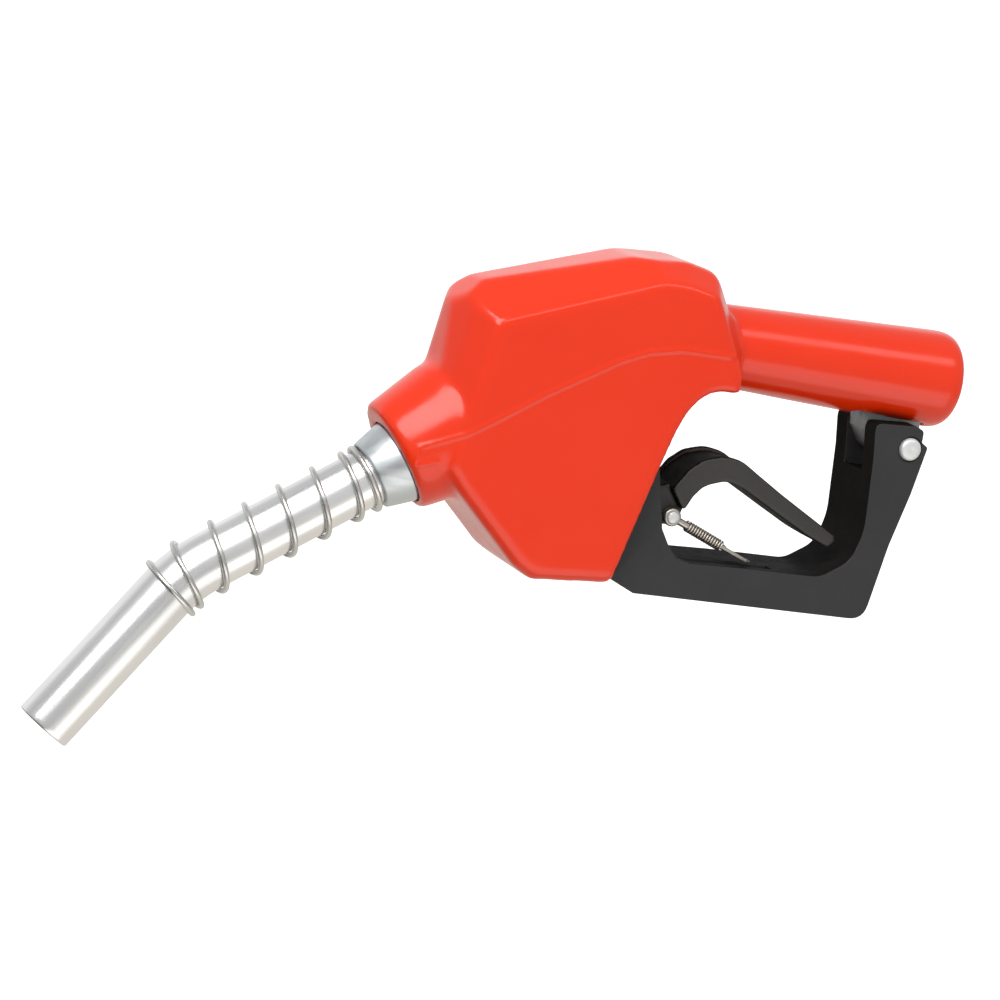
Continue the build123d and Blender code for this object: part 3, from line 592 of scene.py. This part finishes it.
# ---------------------------------------------------------------- vinyl cover
def hood_block(bm):
    """The hood as a bevelled block."""
    block = bmesh.new()
    outline = HOOD_FRONT + HOOD_ROOF + HOOD_REAR + HOOD_FOOT
    prism(block, outline, -HOOD_HALF, HOOD_HALF)
    for x, z, slope, rise in ROOF_CREASES:
        out = Vector((-slope, 0, 1)).normalized()
        for side in (-1, 1):
            slice_off(block, point(x, side * HOOD_HALF, z), out + Vector((0, side * rise, 0)))
    foot = [HOOD_REAR[-1]] + HOOD_FOOT
    for (ax, az), (bx, bz) in zip(foot, foot[1:]):
        along = Vector((bx - ax, 0, bz - az)).normalized()
        for side in (-1, 1):
            normal = Vector((-along.z, side, along.x))
            slice_off(block, point(ax, side * (HOOD_HALF - FOOT_BEVEL), az), normal)
    front = HOOD_FRONT[1][0]
    for y, across, back in NOSE:
        for side in (-1, 1):
            normal = Vector((-across, side * back, NOSE_LEAN * across)).normalized()
            slice_off(block, point(front, side * y, 0), normal)
        front += back
    merge(bm, block)


def merge(bm, other):
    """Copy another bmesh in, and use it up."""
    mesh = bpy.data.meshes.new("merge")
    other.to_mesh(mesh)
    other.free()
    bm.from_mesh(mesh)
    bpy.data.meshes.remove(mesh)


def cover_form(bm):
    """Closed overlapping forms of the cover: hood, neck and handle."""
    hood_block(bm)
    revolve(bm, NECK_PROFILE, (ROOT_POINT + SPOUT_UP * NECK_OFFSET) * MM, SPOUT_DIR, SPOUT_UP)
    revolve(bm, HANDLE_PROFILE, Vector(), AXIS_X, AXIS_Z)


def hollow_form(outer, wall):
    """A copy of a closed skin drawn inwards by the wall's thickness, without its folds.

    The melt matters: a boolean drops a cutter that crosses itself, and the cover stays solid.
    """
    inner = new_object("hollow", outer.data.copy())
    normals = [n.vector.copy() for n in inner.data.vertex_normals]
    for vertex, normal in zip(inner.data.vertices, normals):
        vertex.co -= normal * wall * MM
    return melt(inner, COVER_VOXEL)


def raise_seams(cover):
    """Lift the thin moulded line that runs along both sides from neck to handle."""
    runs = [(Vector(a), Vector(b)) for line in SEAMS for a, b in zip(line, line[1:])]
    normals = [n.vector.copy() for n in cover.data.vertex_normals]
    for vertex, normal in zip(cover.data.vertices, normals):
        x, y, z = vertex.co / MM
        if normal.y * y <= 0 or abs(normal.y) < SEAM_FACING or abs(y) < SEAM_LEAST_Y:
            continue
        here = Vector((x, z))
        gap = min((here - nearest(here, a, b)).length for a, b in runs)
        vertex.co += normal * SEAM_RISE * MM * math.exp(-(gap / SEAM_WIDTH) ** 2)


def nearest(here, a, b):
    """The point of a straight run from a to b that is nearest to a place."""
    share = (here - a).dot(b - a) / (b - a).length_squared
    return a + (b - a) * min(max(share, 0), 1)


def make_cover():
    """The vinyl shell, open at its neck, inlet, rear mouth and lug."""
    bm = bmesh.new()
    cover_form(bm)
    outer = voxel_form("cover_skin", bm, COVER_VOXEL, COVER_ROUNDS)
    hollow = hollow_form(outer, SHELL_WALL)
    cutters = bmesh.new()
    neck_mouth = [(NECK_MOUTH - 8, MOUTH_R), (NECK_MOUTH + 6, MOUTH_R)]
    revolve(cutters, neck_mouth, ROOT_POINT * MM, SPOUT_DIR, SPOUT_UP)
    revolve(cutters, [(-6, LIP_R), (10, LIP_R)], Vector(), AXIS_X, AXIS_Z)
    prism(cutters, REAR_MOUTH, -HOOD_HALF + SHELL_WALL, HOOD_HALF - SHELL_WALL)
    prism(cutters, LUG_SLOT, -LUG_HALF, LUG_HALF)
    carve(hollow, from_bmesh("cutters", cutters), "UNION")
    carve(outer, hollow)
    melt(outer, SKIN_VOXEL, SKIN_ROUNDS)
    raise_seams(outer)
    outer.data.shade_smooth()
    return finish_piece(outer, "nozzle", "red_vinyl", MATERIALS["red_vinyl"], "body_cover")


# ---------------------------------------------------------------- moulded outlines
def eased(outline, steps=6):
    """Round the corners of a closed outline: each point is (x, z, radius)."""
    places = []
    for i, (x, z, radius) in enumerate(outline):
        here = Vector((x, z))
        to_last = Vector(outline[i - 1][:2]) - here
        to_next = Vector(outline[(i + 1) % len(outline)][:2]) - here
        half = to_last.angle(to_next) / 2
        reach = min(radius / math.tan(half), to_last.length * 0.48, to_next.length * 0.48)
        start = here + to_last.normalized() * reach
        end = here + to_next.normalized() * reach
        for k in range(steps + 1):
            t = k / steps
            places.append(tuple(start * (1 - t) ** 2 + here * 2 * t * (1 - t) + end * t ** 2))
    return places


def across(place, start, end, radius, bm):
    """A round bar along Y, through a place in X and Z, added to a bmesh."""
    centre = point(place[0], 0, place[1])
    revolve(bm, [(start, radius), (end, radius)], centre, SIDE, AXIS_Z, 48)


# ---------------------------------------------------------------- hand guard
GUARD_HALF = 18.5
GUARD_OUTLINE = [
    (-128, -50, 1), (-148, -50, 1), (-150, -88, 1), (-144.5, -94, 1), (-140.5, -100.5, 2.5),
    (-129, -105.5, 3), (-21.5, -104.2, 8), (-17, -71, 40), (-12, -48, 30), (-8.8, -27.2, 1.6),
    (-12, -25.5, 0.8), (-12.2, -20.6, 2), (-16, -19, 2), (-35.6, -20.2, 3.6), (-33, -36, 20),
    (-30, -67, 30), (-33.5, -80, 13), (-46, -88.3, 12), (-83, -89, 40), (-106, -90, 6),
    (-113, -88.5, 3), (-118, -83, 4), (-122, -77, 4),
]
WING_CREASE = (-130.0, -86.0)
CREASE_OUT = Vector((-0.8, 0, 0.6))
WING_LEAN = 9.0
EAR_INNER = 8.4
WING_INNER = 11.0
CLIP_Y = -9.8
# outlines of the guard's gaps: between its ears, between its wings, and the clip's slot
EAR_GAP = [(-45, -10), (-5, -10), (-5, -42), (-45, -42)]
WING_GAP = [(-160, -45), (-117, -45), (-117, -97), (-160, -97)]
CLIP_SLOT = [(-111, -80, 1), (-66, -80, 1), (-66, -95.5, 2), (-111, -95.5, 2)]
RIVET_DISH = 0.9
RIVET_DISH_R = 5.5
# the ear rivet's head, from its crown inwards: (y, radius)
RIVET_HEAD = [
    (20.0, 0.2), (20.3, 1.3), (20.25, 2.9), (19.95, 4.0), (19.35, 4.65), (18.6, 4.8), (17.6, 4.8),
]
RIVET_SHANK = [(-17.6, 3.2), (17.6, 3.2)]


def make_guard():
    """The hand guard with its two wings, ears, clip slot and leaning creases."""
    bm = bmesh.new()
    prism(bm, eased(GUARD_OUTLINE), -GUARD_HALF, GUARD_HALF)
    lean = math.radians(WING_LEAN)
    for side in (-1, 1):
        normal = Vector((0, side * math.cos(lean), 0)) + CREASE_OUT * math.sin(lean)
        slice_off(bm, point(WING_CREASE[0], side * GUARD_HALF, WING_CREASE[1]), normal)
    guard = from_bmesh("guard_moulding", bm, smooth=False)
    cutters = bmesh.new()
    prism(cutters, EAR_GAP, -EAR_INNER, EAR_INNER)
    prism(cutters, WING_GAP, -WING_INNER, WING_INNER)
    prism(cutters, eased(CLIP_SLOT), CLIP_Y - 3, CLIP_Y + 3.5)
    for side in (-1, 1):
        dish, past = side * (GUARD_HALF - RIVET_DISH), side * (GUARD_HALF + 2)
        across(RIVET_AT, dish, past, RIVET_DISH_R, cutters)
    carve(guard, from_bmesh("guard_cutters", cutters, smooth=False))
    rounded(guard, 0.9, 3, 25)
    finish_piece(guard, "nozzle", "black_plastic", MATERIALS["black_plastic"], "hand_guard")
    shade_inner_faces(guard)


def make_rivet():
    """The rivet through the guard's ears, with a domed head at each end."""
    bm = bmesh.new()
    profile = [(-y, r) for y, r in RIVET_HEAD] + RIVET_SHANK + RIVET_HEAD[::-1]
    revolve(bm, profile, point(RIVET_AT[0], 0, RIVET_AT[1]), SIDE, AXIS_Z, 64)
    rivet = from_bmesh("ear_rivet", bm)
    rivet.data.set_sharp_from_angle(angle=math.radians(50))
    return finish_piece(rivet, "nozzle", "zinc_steel", RIVET_ZINC, "guard_rivet")


# ---------------------------------------------------------------- lever
LEVER_HALF = 12.5
WEB_HALF = 7.5
GRIP_TOP = [
    (-118, -61, 2), (-112.5, -52, 8), (-106.5, -47, 9), (-97.5, -44.3, 14), (-89, -45.4, 14),
    (-80, -50.4, 20), (-68, -56.9, 40), (-40, -71, 1.4),
]
GRIP_UNDER = [
    (-39, -73.5, 1), (-42, -76.6, 1.4), (-52, -73, 30), (-67, -66, 40), (-87, -56.5, 20),
    (-95, -54.8, 8), (-104, -58, 10), (-108, -63, 10), (-111, -70, 1.5),
]
WEB_OUTLINE = [
    (-98, -50, 1), (-112, -55, 4), (-120, -60.6, 6), (-128, -63, 6), (-148, -64.5, 8),
    (-156, -63.6, 8), (-156, -76.4, 8), (-140, -75.5, 8), (-125, -74, 6), (-118, -77, 4),
    (-112, -77, 3), (-110, -72, 3), (-108, -64, 3), (-98, -56, 3),
]
CHANNEL_HALF = 8.8
CHANNEL_DEPTH = 1.5
CHANNEL_ROOF = 8.0
PIN_BOSS_R = 6.4
PIN_BORE_R = 2.55
STEM_PAD = (-132.0, -66.2)
STEM_PAD_R = 5.8
FORK_GAP = [(-170, -55), (-147, -55), (-147, -85), (-170, -85)]
FORK_HALF = 4.6


def make_lever():
    """The lever: an arched grip with a channel in its top, and a forked web."""
    bm = bmesh.new()
    prism(bm, eased(GRIP_TOP + GRIP_UNDER), -LEVER_HALF, LEVER_HALF)
    prism(bm, eased(WEB_OUTLINE), -WEB_HALF, WEB_HALF)
    across(FULCRUM, -WEB_HALF, WEB_HALF, PIN_BOSS_R, bm)
    across(STEM_PAD, -WEB_HALF, WEB_HALF, STEM_PAD_R, bm)
    lever = voxel_form("lever_moulding", bm, 0.7, 3)
    cutters = bmesh.new()
    floor = [(x, z - CHANNEL_DEPTH, r) for x, z, r in GRIP_TOP[:-2]]
    roof = [(x, z + CHANNEL_ROOF, r) for x, z, r in floor[::-1]]
    prism(cutters, eased(floor + roof), -CHANNEL_HALF, CHANNEL_HALF)
    prism(cutters, FORK_GAP, -FORK_HALF, FORK_HALF)
    across(FULCRUM, -WEB_HALF - 1, WEB_HALF + 1, PIN_BORE_R, cutters)
    carve(lever, from_bmesh("lever_cutters", cutters, smooth=False))
    melt(lever, 0.5, 5)
    lever.data.shade_smooth()
    finish_piece(lever, "lever", "lever_plastic", MATERIALS["lever_plastic"], "lever")
    shade_inner_faces(lever)


# ---------------------------------------------------------------- spout
COIL_R = 13.4
WIRE_R = 1.2
COIL_START = 1.35
COIL_CLOSE_PITCH = 2.6
COIL_PITCH = 15.55
COIL_END_TURNS = 0.5
COIL_OPENING_TURNS = 1.4
COIL_TURNS = 8
COIL_STEPS = 44
TUBE_STEP = 1.5
# the tip's rounded lip: (distance back from the end, how much the wall has shrunk)
TIP_LIP = [(0.9, 0.0), (0.4, 0.12), (0.1, 0.4), (0.0, 0.62)]
# the vent's port through the tube's side near the tip
PORT_BACK = 17.0
PORT_R = 1.5
PORT_REACH = (1, 16)
VENT_LIFT = 6.6
# the nut's closed profile: (along, radius)
NUT_PROFILE = [
    (-22, 15), (-12.4, 15), (-12.2, 16.9), (-11.8, 17.35), (-11.2, 17.25), (-1.0, 14.6),
    (-0.35, 14.3), (0, 13.8), (0, 12.6), (-0.4, 12.05), (-22, 12.05),
]


def lay_flow(obj):
    """Store each vertex's place along, across and out from the spout's centre line."""
    pivot = ROOT_POINT + SPOUT_DIR * FIRST_RUN - SPOUT_UP * BEND_R
    first = math.radians(SPOUT_DIP)
    flow = obj.data.attributes.new("flow", "FLOAT_VECTOR", "POINT")
    for i, vertex in enumerate(obj.data.vertices):
        arm = vertex.co / MM - pivot
        dip = min(max(math.atan2(-arm.x, arm.z), first), first + TURN)
        along = FIRST_RUN + BEND_R * (dip - first) - arm.x * math.cos(dip) - arm.z * math.sin(dip)
        out = arm.z * math.cos(dip) - arm.x * math.sin(dip) - BEND_R
        flow.data[i].vector = Vector((along, arm.y, out)) * MM


def make_spout():
    """The bent spout tube with its wall, lip and vent port."""
    inner_r = SPOUT_R - SPOUT_WALL
    count = int((SPOUT_LENGTH - TUBE_START - 2) / TUBE_STEP) + 1
    runs = [TUBE_START + TUBE_STEP * k for k in range(count)]
    outer = [(s, SPOUT_R) for s in runs]
    inner = [(s, inner_r) for s in runs[::-1]]
    tip = [(SPOUT_LENGTH - back, SPOUT_R - shrink) for back, shrink in TIP_LIP]
    tip += [(SPOUT_LENGTH - back, inner_r + shrink) for back, shrink in TIP_LIP[::-1]]
    bm = bmesh.new()
    stations = outer + tip + inner
    frames = []
    for s, _ in stations:
        centre, _, up = spout_frame(s)
        frames.append((centre, up, SIDE))
    tube_skin(bm, frames, [r for _, r in stations], 96, closed=True)
    spout = from_bmesh("spout_shell", bm)
    port = bmesh.new()
    centre, _, up = spout_frame(SPOUT_LENGTH - PORT_BACK)
    bore = [(reach, PORT_R) for reach in PORT_REACH]
    revolve(port, bore, centre + up * VENT_LIFT * MM, SIDE, up, 24)
    carve(spout, from_bmesh("port", port, smooth=False))
    lay_flow(spout)
    spout.data.shade_smooth()
    spout.data.set_sharp_from_angle(angle=math.radians(40))
    return finish_piece(spout, "nozzle", "spout_aluminium", MATERIALS["spout_aluminium"], "spout_tube")


def make_coil():
    """The kink-guard spring: closed end turns and open turns between."""
    along = COIL_START
    line = []
    for step in range(COIL_TURNS * COIL_STEPS + 1):
        turns = step / COIL_STEPS
        from_end = min(turns, COIL_TURNS - turns)
        opening = min(max((from_end - COIL_END_TURNS) / COIL_OPENING_TURNS, 0), 1)
        angle = 2 * math.pi * turns - math.pi / 2
        centre, _, up = spout_frame(along)
        radial = up * math.cos(angle) - SIDE * math.sin(angle)
        line.append((centre + radial * COIL_R * MM, radial))
        along += (COIL_CLOSE_PITCH + (COIL_PITCH - COIL_CLOSE_PITCH) * opening) / COIL_STEPS
    bm = bmesh.new()
    tube_skin(bm, *wire_frames(line, WIRE_R), 16)
    coil = from_bmesh("spout_coil", bm)
    return finish_piece(coil, "nozzle", "spring_steel", MATERIALS["spring_steel"], "spout_spring")


WIRE_TAPER = (0.75, 0.45)
WIRE_END = 0.2


def wire_frames(line, wire):
    """Frames and radii for a wire along (centre, outward) places, with rounded ends."""
    frames = []
    radii = []
    last = len(line) - 1
    for i, (centre, outward) in enumerate(line):
        ahead = (line[min(i + 1, last)][0] - line[max(i - 1, 0)][0]).normalized()
        normal = (outward - ahead * outward.dot(ahead)).normalized()
        shares = WIRE_TAPER if i in (0, last) else (1.0,)
        if i == 0:
            shares = shares[::-1]
        past = WIRE_END if i == last else -WIRE_END
        for share in shares:
            place = centre + ahead * (1 - share) * past * MM
            frames.append((place, normal, ahead.cross(normal)))
            radii.append(wire * share)
    return frames, radii


def make_nut():
    """The tapered nut that holds the spout."""
    bm = bmesh.new()
    revolve(bm, NUT_PROFILE, ROOT_POINT * MM, SPOUT_DIR, SPOUT_UP, 128, closed=True)
    nut = from_bmesh("nut_taper", bm)
    nut.data.set_sharp_from_angle(angle=math.radians(50))
    return finish_piece(nut, "nozzle", "zinc_steel", MATERIALS["zinc_steel"], "spout_nut")


# ---------------------------------------------------------------- hold-open clip
CLIP_DIP = 20.6
CLIP_LENGTH = 42.0
BLADE_START = 27.0
BLADE_HALF_THICK = 0.75
# the blade's sections: (along, half width)
BLADE = [
    (BLADE_START - 2, 1.2), (BLADE_START + 1.5, 1.8), (CLIP_LENGTH - 2, 1.7), (CLIP_LENGTH, 0.8),
]
# profiles of the clip's eye, its shank and its rivet: (along, radius)
CLIP_EYE = [(-1.8, 3.2), (-1.3, 3.9), (1.3, 3.9), (1.8, 3.4)]
CLIP_SHANK = [(2, 1.6), (BLADE_START - 1, 1.5), (BLADE_START + 2, 1.1)]
CLIP_PIN = [
    (-2.8, 0.2), (-2.75, 1.2), (-2.5, 2.2), (-2.1, 2.7), (-1.9, 2.75), (-1.9, 1.6), (7.8, 1.6),
]
WINDING_TURNS = 14
WINDING_STEPS = 20
WINDING_START = 8
WINDING_LENGTH = 18.2
WINDING_R = 2.05
WINDING_WIRE = 0.45


def clip_frame():
    """(pivot, direction, up) of the hold-open clip."""
    dip = math.radians(CLIP_DIP)
    ahead = Vector((math.cos(dip), 0, -math.sin(dip)))
    up = Vector((math.sin(dip), 0, math.cos(dip)))
    return point(CLIP_PIVOT[0], CLIP_Y, CLIP_PIVOT[1]), ahead, up


def make_clip_arm():
    """The clip's eye, shank and flattened blade."""
    pivot, ahead, up = clip_frame()
    bm = bmesh.new()
    revolve(bm, CLIP_EYE, pivot, SIDE, AXIS_Z, 48)
    revolve(bm, CLIP_SHANK, pivot, ahead, up, 32)
    blade = []
    for along, half in BLADE:
        centre = pivot + ahead * along * MM
        blade.append([
            bm.verts.new(centre + SIDE * half * a * MM + up * BLADE_HALF_THICK * b * MM)
            for a, b in ((-1, -1), (1, -1), (1, 1), (-1, 1))
        ])
    loft(bm, blade)
    clip = voxel_form("clip_arm", bm, 0.28, 4)
    return finish_piece(clip, "clip", "clip_steel", MATERIALS["clip_steel"], "hold_open_clip")


def make_clip_winding():
    """The wire wound round the clip's shank."""
    pivot, ahead, up = clip_frame()
    line = []
    for step in range(WINDING_TURNS * WINDING_STEPS + 1):
        t = 2 * math.pi * step / WINDING_STEPS
        outward = up * math.cos(t) + SIDE * math.sin(t)
        along = WINDING_START + WINDING_LENGTH * step / (WINDING_TURNS * WINDING_STEPS)
        line.append((pivot + ahead * along * MM + outward * WINDING_R * MM, outward))
    bm = bmesh.new()
    tube_skin(bm, *wire_frames(line, WINDING_WIRE), 10)
    wound = from_bmesh("clip_winding", bm)
    return finish_piece(wound, "clip", "clip_steel", MATERIALS["clip_steel"], "clip_spring")


def make_clip_pin():
    """The rivet that the clip turns on."""
    bm = bmesh.new()
    revolve(bm, CLIP_PIN, clip_frame()[0], SIDE, AXIS_Z, 40)
    rivet = from_bmesh("clip_pin", bm)
    rivet.data.set_sharp_from_angle(angle=math.radians(50))
    return finish_piece(rivet, "lever", "zinc_steel", RIVET_ZINC, "clip_rivet")


# ---------------------------------------------------------------- inlet thread
THREAD_PITCH = 1.814
THREAD_ROOT = 13.3
THREAD_CREST = 12.15
THREAD_START = -1.2
THREAD_TURNS = 9
THREAD_STEPS = 72
THREAD_LEAST = 0.06
# the ridge's section: (share of the pitch, radius)
THREAD_SECTION = [(0.42, THREAD_ROOT), (0.1, THREAD_CREST), (-0.1, THREAD_CREST), (-0.42, THREAD_ROOT)]


def make_thread():
    """The hose thread of the inlet: a helical ridge on the bore, which fades out at its ends."""
    bm = bmesh.new()
    rings = []
    for step in range(THREAD_TURNS * THREAD_STEPS + 1):
        turns = step / THREAD_STEPS
        angle = 2 * math.pi * step / THREAD_STEPS
        x = THREAD_START - THREAD_PITCH * step / THREAD_STEPS
        fade = max(THREAD_LEAST, min(1, turns * 2, (THREAD_TURNS - turns) * 2))
        ring = []
        for share, section_r in THREAD_SECTION:
            radius = THREAD_ROOT - (THREAD_ROOT - section_r) * fade
            place = point(x + share * THREAD_PITCH, math.cos(angle) * radius, math.sin(angle) * radius)
            ring.append(bm.verts.new(place))
        rings.append(ring)
    loft(bm, rings)
    thread = from_bmesh("inlet_thread", bm)
    thread.data.set_sharp_from_angle(angle=math.radians(35))
    return finish_piece(thread, "nozzle", "cast_aluminium", MATERIALS["cast_aluminium"])


make_camera()
make_stage()
make_light()
SCENE.view_settings.view_transform = "Standard"
make_cover()
make_guard()
make_rivet()
make_lever()
make_spout()
make_coil()
make_nut()
make_clip_arm()
make_clip_winding()
make_clip_pin()
make_thread()
